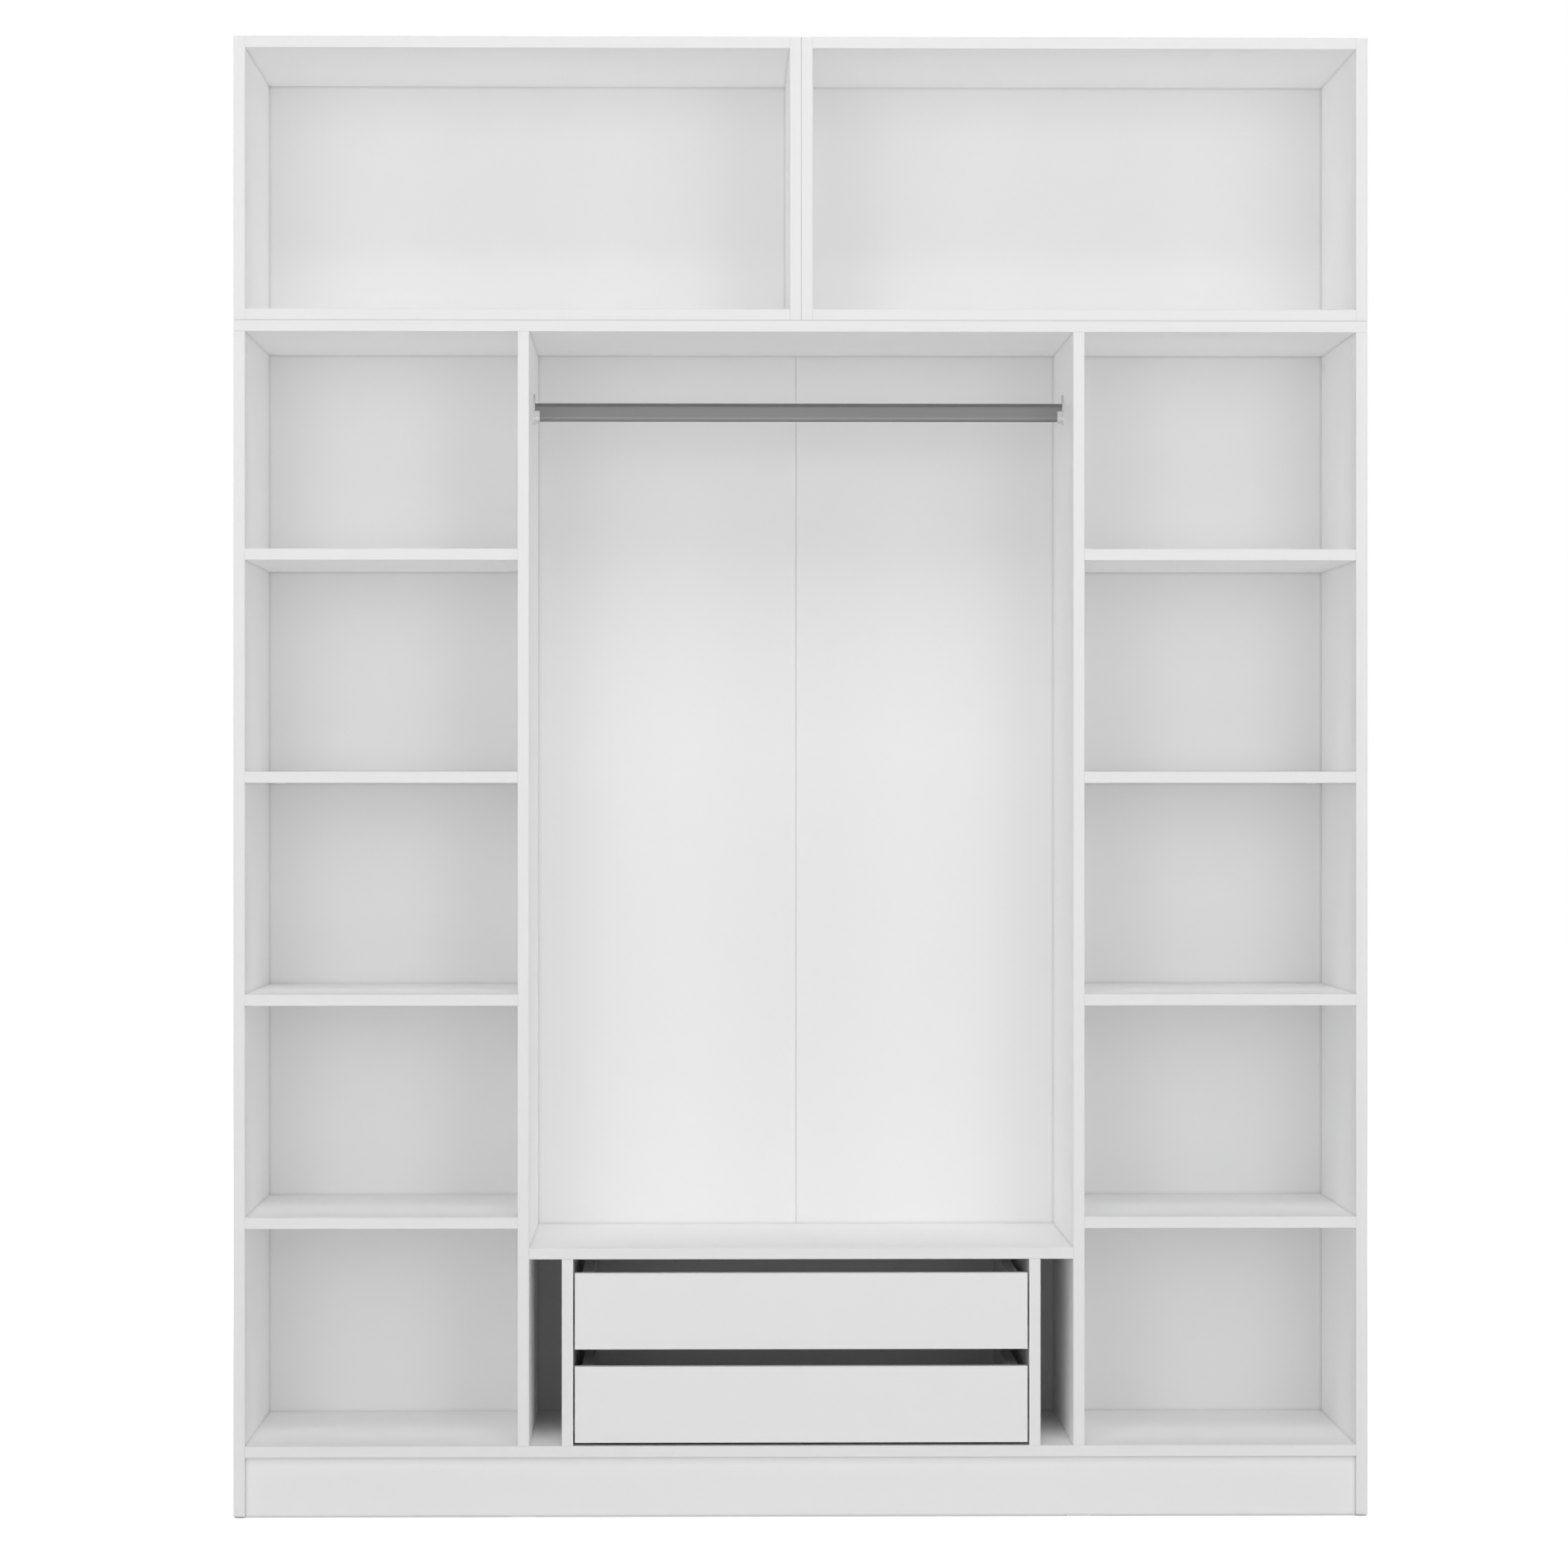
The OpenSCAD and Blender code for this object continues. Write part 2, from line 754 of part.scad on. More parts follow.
module cam_locks() {
    color(steel_colour) both_sides() for (joint = cabinet_joints, s = cams_of(joint)) at(s) cam_lock();
}

module cam_bolts() {
    color(steel_colour) both_sides() for (joint = cabinet_joints, s = cams_of(joint)) at(s) cam_bolt();
}

module dowels() {
    centring = [dowel_face - dowel_len / 2, 0, 0];
    color(dowel_colour) {
        both_sides() for (joint = concat(cabinet_joints, under_joints), s = dowels_of(joint)) at(s) dowel();
        for (joint = batten_joints, s = dowels_of(joint)) at(s) dowel();
        both_sides() for (s = box_stack) at(s) translate(centring) dowel();
        for (s = middle_stack) at(s) translate(centring) dowel();
    }
}

module wood_screws() {
    color(steel_colour) both_sides() {
        for (n = [0:SLOT_COUNT - 1], s = cabinet_slide_screws(n)) at(s) slotted_screw();
        at(support_screw) slotted_screw();
    }
}

module drawer_dowels(n) {
    color(dowel_colour) both_sides() for (joint = drawer_corners(n), s = dowels_of(joint)) at(s) dowel();
}

module drawer_screws(n) {
    color(steel_colour) both_sides() for (s = drawer_slide_screws(n)) at(s) slotted_screw();
}

// Glide with a moulded pin, long side along Y
module glide(pin_extra = 0) {
    translate([-glide_w / 2, -glide_len / 2, 0]) cube([glide_w, glide_len, glide_t]);
    glide_pin(pin_extra);
}

module glide_pin(extra) {
    translate([0, 0, glide_t / 2])
        cylinder(h = glide_pin_len + glide_t / 2, r = glide_pin_r + extra);
}

module side_glide_bores() {
    for (y = [y_front + glide_end, y_rear - glide_end])
        translate([x_side + board / 2, y, 0]) glide_pin(fit);
}

module plinth_glide_bores(y) {
    both_sides() translate([x_div_in + board / 2, y, 0]) glide_pin(fit);
}

module floor_glides() {
    color(plastic_colour) both_sides() {
        for (y = [y_front + glide_end, y_rear - glide_end]) translate([x_side + board / 2, y, 0]) glide();
        for (y = [y_plinth, y_rear_plinth])
            translate([x_div_in + board / 2, y + board / 2, 0]) rotate([0, 0, 90]) glide();
    }
}

on_left() side_panel();  // left_side
side_panel();  // right_side
on_left() divider();  // left_divider
divider();  // right_divider
carcass_top();
carcass_bottom();
front_plinth();
rear_plinth();
on_left() shelf(1);  // left_shelf_1
on_left() shelf(2);  // left_shelf_2
on_left() shelf(3);  // left_shelf_3
on_left() shelf(4);  // left_shelf_4
shelf(1);  // right_shelf_1
shelf(2);  // right_shelf_2
shelf(3);  // right_shelf_3
shelf(4);  // right_shelf_4
drawer_unit_top();
on_left() upright();  // left_upright
upright();  // right_upright
on_left() back_panel();  // left_back
back_panel();  // right_back
back_batten();
on_left() box_outer_side();  // left_box_outer_side
on_left() box_inner_side();  // left_box_inner_side
on_left() box_top();  // left_box_top
on_left() box_bottom();  // left_box_bottom
on_left() box_back();  // left_box_back
box_outer_side();  // right_box_outer_side
box_inner_side();  // right_box_inner_side
box_top();  // right_box_top
box_bottom();  // right_box_bottom
box_back();  // right_box_back
clothes_rail();
rail_supports();
drawer_front(0);  // lower_drawer_front
on_left() drawer_side(0);  // lower_drawer_left_side
drawer_side(0);  // lower_drawer_right_side
drawer_back(0);  // lower_drawer_back
drawer_bottom(0);  // lower_drawer_bottom
drawer_front(1);  // upper_drawer_front
on_left() drawer_side(1);  // upper_drawer_left_side
drawer_side(1);  // upper_drawer_right_side
drawer_back(1);  // upper_drawer_back
drawer_bottom(1);  // upper_drawer_bottom
cabinet_slides();
drawer_slides(0);  // lower_drawer_slides
drawer_slides(1);  // upper_drawer_slides
front_rollers(0);  // lower_front_rollers
rear_rollers(0);  // lower_rear_rollers
front_rollers(1);  // upper_front_rollers
rear_rollers(1);  // upper_rear_rollers
cam_locks();
cam_bolts();
dowels();
wood_screws();
floor_glides();
drawer_dowels(0);  // lower_drawer_dowels
drawer_screws(0);  // lower_drawer_screws
drawer_dowels(1);  // upper_drawer_dowels
drawer_screws(1);  // upper_drawer_screws
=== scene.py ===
"""Looks of an open white wardrobe with a low drawer unit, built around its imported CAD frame."""
import json
import math

import bmesh
import bpy
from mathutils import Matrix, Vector


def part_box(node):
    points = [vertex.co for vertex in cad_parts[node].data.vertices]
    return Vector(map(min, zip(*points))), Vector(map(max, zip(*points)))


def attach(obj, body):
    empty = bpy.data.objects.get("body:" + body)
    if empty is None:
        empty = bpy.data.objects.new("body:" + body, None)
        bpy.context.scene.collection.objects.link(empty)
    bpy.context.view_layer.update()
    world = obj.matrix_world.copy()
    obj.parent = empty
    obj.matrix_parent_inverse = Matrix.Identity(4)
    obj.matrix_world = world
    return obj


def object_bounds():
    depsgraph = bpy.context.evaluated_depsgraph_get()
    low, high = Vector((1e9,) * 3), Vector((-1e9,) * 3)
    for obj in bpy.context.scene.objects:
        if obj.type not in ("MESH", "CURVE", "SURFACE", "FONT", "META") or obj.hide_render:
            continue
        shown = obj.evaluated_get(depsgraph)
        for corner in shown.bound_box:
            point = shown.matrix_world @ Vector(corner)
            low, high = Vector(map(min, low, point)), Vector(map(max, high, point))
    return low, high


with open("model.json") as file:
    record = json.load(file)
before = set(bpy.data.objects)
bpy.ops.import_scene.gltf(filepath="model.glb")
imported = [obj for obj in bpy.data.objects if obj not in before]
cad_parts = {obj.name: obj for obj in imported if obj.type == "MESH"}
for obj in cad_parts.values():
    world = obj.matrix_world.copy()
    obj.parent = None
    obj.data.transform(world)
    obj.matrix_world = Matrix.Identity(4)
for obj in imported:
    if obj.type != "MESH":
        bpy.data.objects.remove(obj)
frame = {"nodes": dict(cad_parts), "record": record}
cad_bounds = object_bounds()

# Real sizes in metres
BOARD = 0.018
EDGE_BAND = 0.0008
BAND_START = 0.9 * EDGE_BAND
BAND_JOINT = 0.00018
SEAM = 0.0012
PRESS_MESH = 0.0017
CAP_RADIUS = 0.0085
CAP_PLATE = 0.0004
CAP_DOME = 0.0004

# A hair's breadth in metres, for what lies on a face
HAIR = 0.0001

# Facets of a cap, and the share of its width that its raised face keeps
CAP_FACETS = 28
CAP_FACE_SHARE = 0.93

# Grain of the finishes, in features a metre
BOARD_CLOUDS = 2.2
BOARD_PORES = 1300
FLAKES = 330
FLAKE_DUST = 1800
SHEET_CLOUDS = 1.7
LACQUER_PEEL = 900
FIBRES = 260
FIBRE_CLOUDS = 14
BRUSH_LINES = 420
RAIL_SMOKE = 9
PLASTIC_CLOUDS = 60
PLASTIC_SKIN = 2500
POWDER_CLOUDS = 14
POWDER_PEEL = 1100
BEECH_GRAIN = 900
BEECH_FLECKS = 1400

# Shares of a sheet's thickness where its lacquer ends and its bare fibres start
LACQUER_END = 0.9
FIBRES_START = 0.95

# A board deeper than this can carry caps
CAPPED_DEPTH = 0.2

# Heights of the fine reliefs in metres: of melamine, lacquer and powder coat, of metal and plastic,
# of brushed steel, and of wood
SKIN_RELIEF = 0.00003
FINE_RELIEF = 0.00001
BRUSHED_RELIEF = 0.000012
WOOD_RELIEF = 0.00004

# How dark the joint of an edge band is, how dark the painted shade in the joints round the top boxes is,
# and how many times as dark as a band's joint the painted shade in the inner corners at the plinth's ends is
BAND_JOINT_DEPTH = 0.05
SEAM_SHADE_DEPTH = 0.16
END_SHADE_SHARE = 3

# How near two pieces have to be for a line of painted shade between them, and how dark it is
SHADE_REACH = 0.006
SHADE_SAMPLES = 8
BOARD_CORNER_SHADE = 0.28
SHEET_CORNER_SHADE = 0.30

# Camera, fitted to the straight edges of the photograph
FOCAL_SHARE = 6700 / 1932
SENSOR = 36.0
EYE = (-0.1587, -8.879, 1.1537)
YAW = 0.0152
PITCH = 0.0012

# Linear colours
# The board faces' white is near pure, above the drawer fronts' and plinth's white of the same melamine, so
# that bounced light brightens the insides: painted light.
FACE_WHITE = 0.975
FRONT_WHITE = 0.92
BAND_WHITE = 0.905
SHEET_WHITE = 0.885
# The drawer boxes' grey is partly their own colour and partly painted shade that keeps the gaps over the
# drawers dark.
DRAWER_WHITE = 0.84
CHIP_DARK = (0.30, 0.19, 0.10, 1)
CHIP_PALE = (0.62, 0.46, 0.29, 1)
HARDBOARD = ((0.21, 0.125, 0.062, 1), (0.36, 0.235, 0.13, 1))
SEALED_HARDBOARD = ((0.27, 0.27, 0.27, 1), (0.36, 0.36, 0.36, 1))
BEECH_PALE = (0.62, 0.43, 0.25, 1)
BEECH_DARK = (0.44, 0.27, 0.14, 1)

FRONT_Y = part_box("right_side")[0].y
REAR_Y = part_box("right_side")[1].y
FOOT_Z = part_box("right_side")[0].z
BOX_JOINT_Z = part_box("carcass_top")[1].z
BACK_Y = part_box("right_back")[0].y
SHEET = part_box("right_back")[1].y - BACK_Y


class Wire:
    """A node's output. Sums and products of values add Math nodes."""

    def __init__(self, web, socket):
        self.web = web
        self.socket = socket

    def of(self, name):
        """Another output of the same node."""
        return Wire(self.web, self.socket.node.outputs[name])

    def math(self, operation, *values):
        sockets = dict(enumerate(values))
        return self.web.node("ShaderNodeMath", {"operation": operation}, sockets)

    def __add__(self, other):
        return self.math("ADD", self, other)

    def __radd__(self, other):
        return self.math("ADD", other, self)

    def __sub__(self, other):
        return self.math("SUBTRACT", self, other)

    def __rsub__(self, other):
        return self.math("SUBTRACT", other, self)

    def __mul__(self, other):
        return self.math("MULTIPLY", self, other)

    def __rmul__(self, other):
        return self.math("MULTIPLY", other, self)

    def __abs__(self):
        return self.math("ABSOLUTE", self)

    def larger(self, other):
        return self.math("MAXIMUM", self, other)

    def step(self, low, high):
        """0 below low, 1 above high, and smooth between them."""
        sockets = {"Value": self, "From Min": low, "From Max": high}
        return self.web.node("ShaderNodeMapRange", {"interpolation_type": "SMOOTHSTEP"}, sockets)

    def line(self, place, half_width):
        """1 at a place, and 0 further away than half_width."""
        return 1 - abs(self - place).step(half_width * 0.4, half_width)

    def wave(self, length):
        """A wave from 0 to 1 along this value."""
        return self.math("SINE", self * (2 * math.pi / length)) * 0.5 + 0.5

    def scaled(self, share):
        """This colour or vector times a value."""
        return self.web.node("ShaderNodeVectorMath", {"operation": "SCALE"}, {0: self, "Scale": share})


class Web:
    """A node tree of a material or of geometry."""

    def __init__(self, tree):
        self.tree = tree

    def node(self, kind, settings=None, sockets=None, out=0):
        """Add a node, set its settings, then its sockets, and return one of its outputs."""
        node = self.tree.nodes.new(kind)
        for key, value in (settings or {}).items():
            setattr(node, key, value)
        for key, value in (sockets or {}).items():
            socket = self.input_named(node, key)
            if isinstance(value, Wire):
                self.tree.links.new(value.socket, socket)
            else:
                socket.default_value = value
        if not node.outputs:
            return None
        return Wire(self, self.output_named(node, out))

    def blend(self, share, first, second):
        """The first colour at share 0 and the second at share 1."""
        sockets = {"Factor": share, "A": first, "B": second}
        return self.node("ShaderNodeMix", {"data_type": "RGBA"}, sockets, "Result")

    @staticmethod
    def input_named(node, key):
        """The socket with that name that is in use, or the one at that place."""
        if isinstance(key, int):
            return node.inputs[key]
        return next(s for s in node.inputs if s.name == key and s.enabled)

    @staticmethod
    def output_named(node, key):
        if isinstance(key, int):
            return node.outputs[key]
        return next(s for s in node.outputs if s.name == key and s.enabled)


class Finish(Web):
    """A material with one Principled shader."""

    def __init__(self, name):
        self.material = bpy.data.materials.new(name)
        self.material.use_nodes = True
        super().__init__(self.material.node_tree)
        self.tree.nodes.clear()
        self.place = self.node("ShaderNodeTexCoord", out="Object")
        split = self.node("ShaderNodeSeparateXYZ", sockets={0: self.place})
        self.x, self.y, self.z = split, split.of("Y"), split.of("Z")

    def noise(self, scale, detail=2.0, stretch=(1, 1, 1)):
        """Soft noise from 0 to 1, scale in features a metre, drawn out along an axis by stretch."""
        place = self.node("ShaderNodeMapping", sockets={"Vector": self.place, "Scale": stretch})
        return self.node("ShaderNodeTexNoise", sockets={"Vector": place, "Scale": scale, "Detail": detail})

    def cells(self, scale, stretch=(1, 1, 1)):
        """Random grey cells from 0 to 1."""
        place = self.node("ShaderNodeMapping", sockets={"Vector": self.place, "Scale": stretch})
        colour = self.node("ShaderNodeTexVoronoi", sockets={"Vector": place, "Scale": scale}, out="Color")
        return self.node("ShaderNodeSeparateColor", sockets={0: colour})

    def painted_corner_shade(self, depth):
        """Painted shade from ambient occlusion: 1 in the open, and 1 - depth right where pieces meet."""
        settings = {"samples": SHADE_SAMPLES}
        sockets = {"Distance": SHADE_REACH}
        open_share = self.node("ShaderNodeAmbientOcclusion", settings, sockets, "AO")
        return 1 - depth * (1 - open_share)

    def done(self, colour, roughness, height, relief, constants):
        """Link the shader and return the material. relief is the bump's height in metres."""
        bump = self.node("ShaderNodeBump", sockets={"Distance": relief, "Height": height})
        sockets = {"Base Color": colour, "Roughness": roughness, "Normal": bump, **constants}
        shader = self.node("ShaderNodeBsdfPrincipled", sockets=sockets)
        self.node("ShaderNodeOutputMaterial", sockets={"Surface": shader})
        return self.material


def grey(value, warmth=0.0):
    """A linear colour, a little warmer than neutral if asked."""
    return (value * (1 + warmth), value, value * (1 - warmth), 1.0)


def chipboard_look(f):
    """Colour and height of raw chipboard: coarse flakes between fine outer layers."""
    flakes = f.cells(FLAKES, (1, 1, 2.2))
    dust = f.noise(FLAKE_DUST, 3)
    colour = f.blend(flakes * 0.75 + dust * 0.25, CHIP_DARK, CHIP_PALE)
    return colour, flakes * 0.6 + dust * 0.4


def box_seam_shade(f):
    """1 in the joints between the carcass and the two top boxes, where shade is painted."""
    level = f.z.line(BOX_JOINT_Z, SEAM)
    upright = f.x.line(0.0, SEAM) * f.z.step(BOX_JOINT_Z, BOX_JOINT_Z + SEAM)
    return level.larger(upright)


def board_finish(name, white, banded):
    """White melamine on chipboard, with painted shade where pieces meet and in the joints round the top
    boxes. banded(f) gives (share of the edge band, share of its hairline joint); for the plinth that share
    also carries painted shade at its ends.
    """
    f = Finish(name)
    broad = f.noise(BOARD_CLOUDS, 1)
    pores = f.noise(BOARD_PORES, 2)
    band, hairline = banded(f)
    rear_edge = f.y.step(REAR_Y - 2 * HAIR, REAR_Y - HAIR)
    foot_edge = 1 - f.z.step(FOOT_Z + HAIR, FOOT_Z + 2 * HAIR)
    raw = rear_edge.larger(foot_edge)
    tone = 0.991 + broad * 0.012 + pores * 0.006
    # The joints round the top boxes get painted shade, and for the plinth hairline also carries painted
    # shade at its ends.
    tone = tone * (1 - hairline * BAND_JOINT_DEPTH) * (1 - box_seam_shade(f) * SEAM_SHADE_DEPTH)
    # Painted shade where the board meets other pieces.
    tone = tone * f.painted_corner_shade(BOARD_CORNER_SHADE)
    face = f.blend(broad, grey(white, -0.002), grey(white, 0.002))
    skin = f.blend(band, face, grey(BAND_WHITE))
    chips, chip_height = chipboard_look(f)
    colour = f.blend(raw, skin.scaled(tone), chips)
    roughness = 0.36 + pores * 0.08 + broad * 0.04 - band * 0.06 + raw * 0.45
    height = pores * (1 - band * 0.7) * (1 - raw) * 0.5 + chip_height * raw * 4
    return f.done(colour, roughness, height, SKIN_RELIEF, {"Specular IOR Level": 0.45})


def front_banded(f):
    """Band on the front edge of a cabinet board."""
    behind = f.y - FRONT_Y
    return 1 - behind.step(BAND_START, EDGE_BAND), behind.line(EDGE_BAND, BAND_JOINT)


def drawer_banded(node):
    """Band round all four edges of a drawer front."""
    low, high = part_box(node)

    def banded(f):
        across = abs(f.x - (low.x + high.x) / 2) - (high.x - low.x) / 2
        upright = abs(f.z - (low.z + high.z) / 2) - (high.z - low.z) / 2
        inwards = across.larger(upright) * -1
        return 1 - inwards.step(BAND_START, EDGE_BAND), inwards.line(EDGE_BAND, BAND_JOINT)

    return banded


def shade_ended(node):
    """Band on the front edge, and painted shade in the inner corners at both ends."""
    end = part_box(node)[1].x

    def banded(f):
        band, hairline = front_banded(f)
        # Painted shade in the inner corners where the plinth meets the side panels.
        joint = (end - abs(f.x)).line(0.0, 2 * SEAM)
        return band, hairline + joint * END_SHADE_SHARE

    return banded


def top_banded(node):
    """Band on the top edge of a drawer side or back."""
    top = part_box(node)[1].z

    def banded(f):
        under = top - f.z
        return 1 - under.step(BAND_START, EDGE_BAND), under.line(EDGE_BAND, BAND_JOINT)

    return banded


def sheet_finish(name, white, raw_share, raw_colours):
    """Thin hardboard, lacquered white on one face, with painted shade where it meets other pieces.
    raw_share(f) is 1 on the face of bare fibres.
    """
    f = Finish(name)
    broad = f.noise(SHEET_CLOUDS, 1)
    peel = f.noise(LACQUER_PEEL, 2)
    raw = raw_share(f)
    # Painted shade where the sheet meets other pieces.
    tone = (0.99 + broad * 0.014 + peel * 0.004) * f.painted_corner_shade(SHEET_CORNER_SHADE)
    lacquer = f.blend(broad, grey(white, -0.002), grey(white, 0.002))
    fibres = f.noise(FIBRES, 4, (1, 1, 3))
    clouds = f.noise(FIBRE_CLOUDS, 3)
    mesh_marks = f.x.wave(PRESS_MESH) * (f.y + f.z).wave(PRESS_MESH)
    bare = f.blend(fibres * 0.6 + clouds * 0.4 - mesh_marks * 0.12, *raw_colours)
    colour = f.blend(raw, lacquer.scaled(tone), bare)
    roughness = 0.42 + peel * 0.08 + raw * 0.35
    height = peel * (1 - raw) * 0.4 + (fibres * 2 - mesh_marks * 3) * raw
    return f.done(colour, roughness, height, SKIN_RELIEF, {"Specular IOR Level": 0.4})


def rear_raw(f):
    """Raw share of a back sheet, its lacquered face to the front."""
    return f.y.step(BACK_Y + SHEET * LACQUER_END, BACK_Y + SHEET * FIBRES_START)


def underside_raw(node):
    """Raw share of a sheet that lies level, its lacquered face up."""
    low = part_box(node)[0].z
    bare_top = low + SHEET * (1 - FIBRES_START)
    lacquer_foot = low + SHEET * (1 - LACQUER_END)
    return lambda f: 1 - f.z.step(bare_top, lacquer_foot)


def rail_finish():
    """Dark satin steel, brushed along the tube."""
    f = Finish("rail_steel")
    brushed = f.noise(BRUSH_LINES, 3, (0.01, 1, 1))
    smoke = f.noise(RAIL_SMOKE, 2, (0.4, 1, 1))
    colour = f.blend(brushed * 0.6 + smoke * 0.4, grey(0.225), grey(0.275))
    return f.done(colour, 0.30 + brushed * 0.12, brushed, BRUSHED_RELIEF, {"Metallic": 1.0})


def metal_finish(name, value, roughness, grain=600, warmth=0.0):
    """Plated or cast metal with fine blotches."""
    f = Finish(name)
    blotches = f.noise(grain / 8, 2)
    fine = f.noise(grain * 2, 2)
    tone = blotches * 0.7 + fine * 0.3
    colour = f.blend(tone, grey(value * 0.9, warmth), grey(value * 1.08, warmth))
    return f.done(colour, roughness - 0.06 + blotches * 0.12, fine, FINE_RELIEF, {"Metallic": 1.0})


def plastic_finish(name, value, roughness, warmth=0.0):
    """Moulded plastic with a fine spark-eroded skin."""
    f = Finish(name)
    cloud = f.noise(PLASTIC_CLOUDS, 2)
    skin = f.noise(PLASTIC_SKIN, 2)
    tone = cloud * 0.6 + skin * 0.4
    colour = f.blend(tone, grey(value * 0.985, warmth), grey(value * 1.01, warmth))
    return f.done(colour, roughness + skin * 0.1, skin, FINE_RELIEF, {})


def coated_steel_finish():
    """White powder coat on rolled steel."""
    f = Finish("slide_steel")
    peel = f.noise(POWDER_PEEL, 2)
    cloud = f.noise(POWDER_CLOUDS, 2)
    colour = f.blend(cloud * 0.6 + peel * 0.4, grey(0.80), grey(0.84))
    return f.done(colour, 0.34 + peel * 0.12, peel, SKIN_RELIEF, {})


def beech_finish():
    """Beech with short dark flecks."""
    f = Finish("dowel_wood")
    grain = f.noise(BEECH_GRAIN, 3, (0.15, 1, 1))
    flecks = f.cells(BEECH_FLECKS, (0.3, 1, 1)).step(0.8, 0.95)
    tone = grain * 0.7 + flecks * 0.3
    colour = f.blend(tone, BEECH_PALE, BEECH_DARK)
    return f.done(colour, 0.6 + grain * 0.15, tone, WOOD_RELIEF, {})


finishes = {
    "white_board": board_finish("white_board", FACE_WHITE, front_banded),
    "white_sheet": sheet_finish("white_sheet", SHEET_WHITE, rear_raw, HARDBOARD),
    "rail_steel": rail_finish(),
    "support_metal": metal_finish("support_metal", 0.66, 0.26),
    "slide_steel": coated_steel_finish(),
    "roller_plastic": plastic_finish("roller_plastic", 0.72, 0.35, 0.01),
    "cam_metal": metal_finish("cam_metal", 0.52, 0.45, 300),
    "bolt_steel": metal_finish("bolt_steel", 0.55, 0.3),
    "dowel_wood": beech_finish(),
    "screw_steel": metal_finish("screw_steel", 0.58, 0.28, 900, 0.02),
    "glide_plastic": plastic_finish("glide_plastic", 0.88, 0.4),
}


def own_finish(node):
    """A finish that only this node has, or None."""
    if node == "front_plinth":
        return board_finish(node, FRONT_WHITE, shade_ended(node))
    if node.endswith("drawer_front"):
        return board_finish(node, FRONT_WHITE, drawer_banded(node))
    if node.endswith(("drawer_left_side", "drawer_right_side", "drawer_back")):
        return board_finish(node, DRAWER_WHITE, top_banded(node))
    if node.endswith("drawer_bottom"):
        return sheet_finish(node, DRAWER_WHITE, underside_raw(node), SEALED_HARDBOARD)
    return None


def dress_frame():
    """Give every CAD node the finish of its slot, or its own."""
    for entry in frame["record"]["subparts"]:
        finish = own_finish(entry["node"]) or finishes[entry["material_slot"]]
        for slot in frame["nodes"][entry["node"]].material_slots:
            slot.material = finish


def loose_solids(node):
    """The corners of each separate solid in a CAD node, as (low, high)."""
    mesh = bmesh.new()
    mesh.from_mesh(frame["nodes"][node].data)
    bmesh.ops.remove_doubles(mesh, verts=mesh.verts, dist=1e-6)
    left = set(mesh.verts)
    boxes = []
    while left:
        group = {left.pop()}
        edge = list(group)
        while edge:
            near = {e.other_vert(v) for v in edge for e in v.link_edges} & left
            left -= near
            group |= near
            edge = list(near)
        low = Vector([min(v.co[i] for v in group) for i in range(3)])
        high = Vector([max(v.co[i] for v in group) for i in range(3)])
        boxes.append((low, high))
    mesh.free()
    return boxes


def boards():
    """Low and high corner of every board of the cabinet."""
    nodes = [e["node"] for e in frame["record"]["subparts"] if e["material_slot"] == "white_board"]
    boxes = [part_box(n) for n in nodes]
    return [(low, high) for low, high in boxes if high.y - low.y > CAPPED_DEPTH]


def cam_faces():
    """Middle of each cam's face on its board, and the way it faces, where a cap covers it."""
    found = []
    panels = boards()
    top = cad_bounds[1][2]
    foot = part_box("carcass_bottom")[1].z
    for low, high in loose_solids("cam_locks"):
        middle = (low + high) / 2
        size = high - low
        axis = min(range(3), key=lambda i: size[i])
        for panel_low, panel_high in panels:
            inside = all(panel_low[i] < middle[i] < panel_high[i] for i in range(3))
            if inside and abs(panel_high[axis] - panel_low[axis] - BOARD) < HAIR:
                up = middle[axis] > (panel_low[axis] + panel_high[axis]) / 2
                face = middle.copy()
                face[axis] = (panel_high if up else panel_low)[axis]
                way = Vector((0, 0, 0))
                way[axis] = 1 if up else -1
                hidden = face.z < foot or abs(face.z - BOX_JOINT_Z) < HAIR or face.z > top - BOARD
                if not hidden:
                    found.append((face, way))
    return found


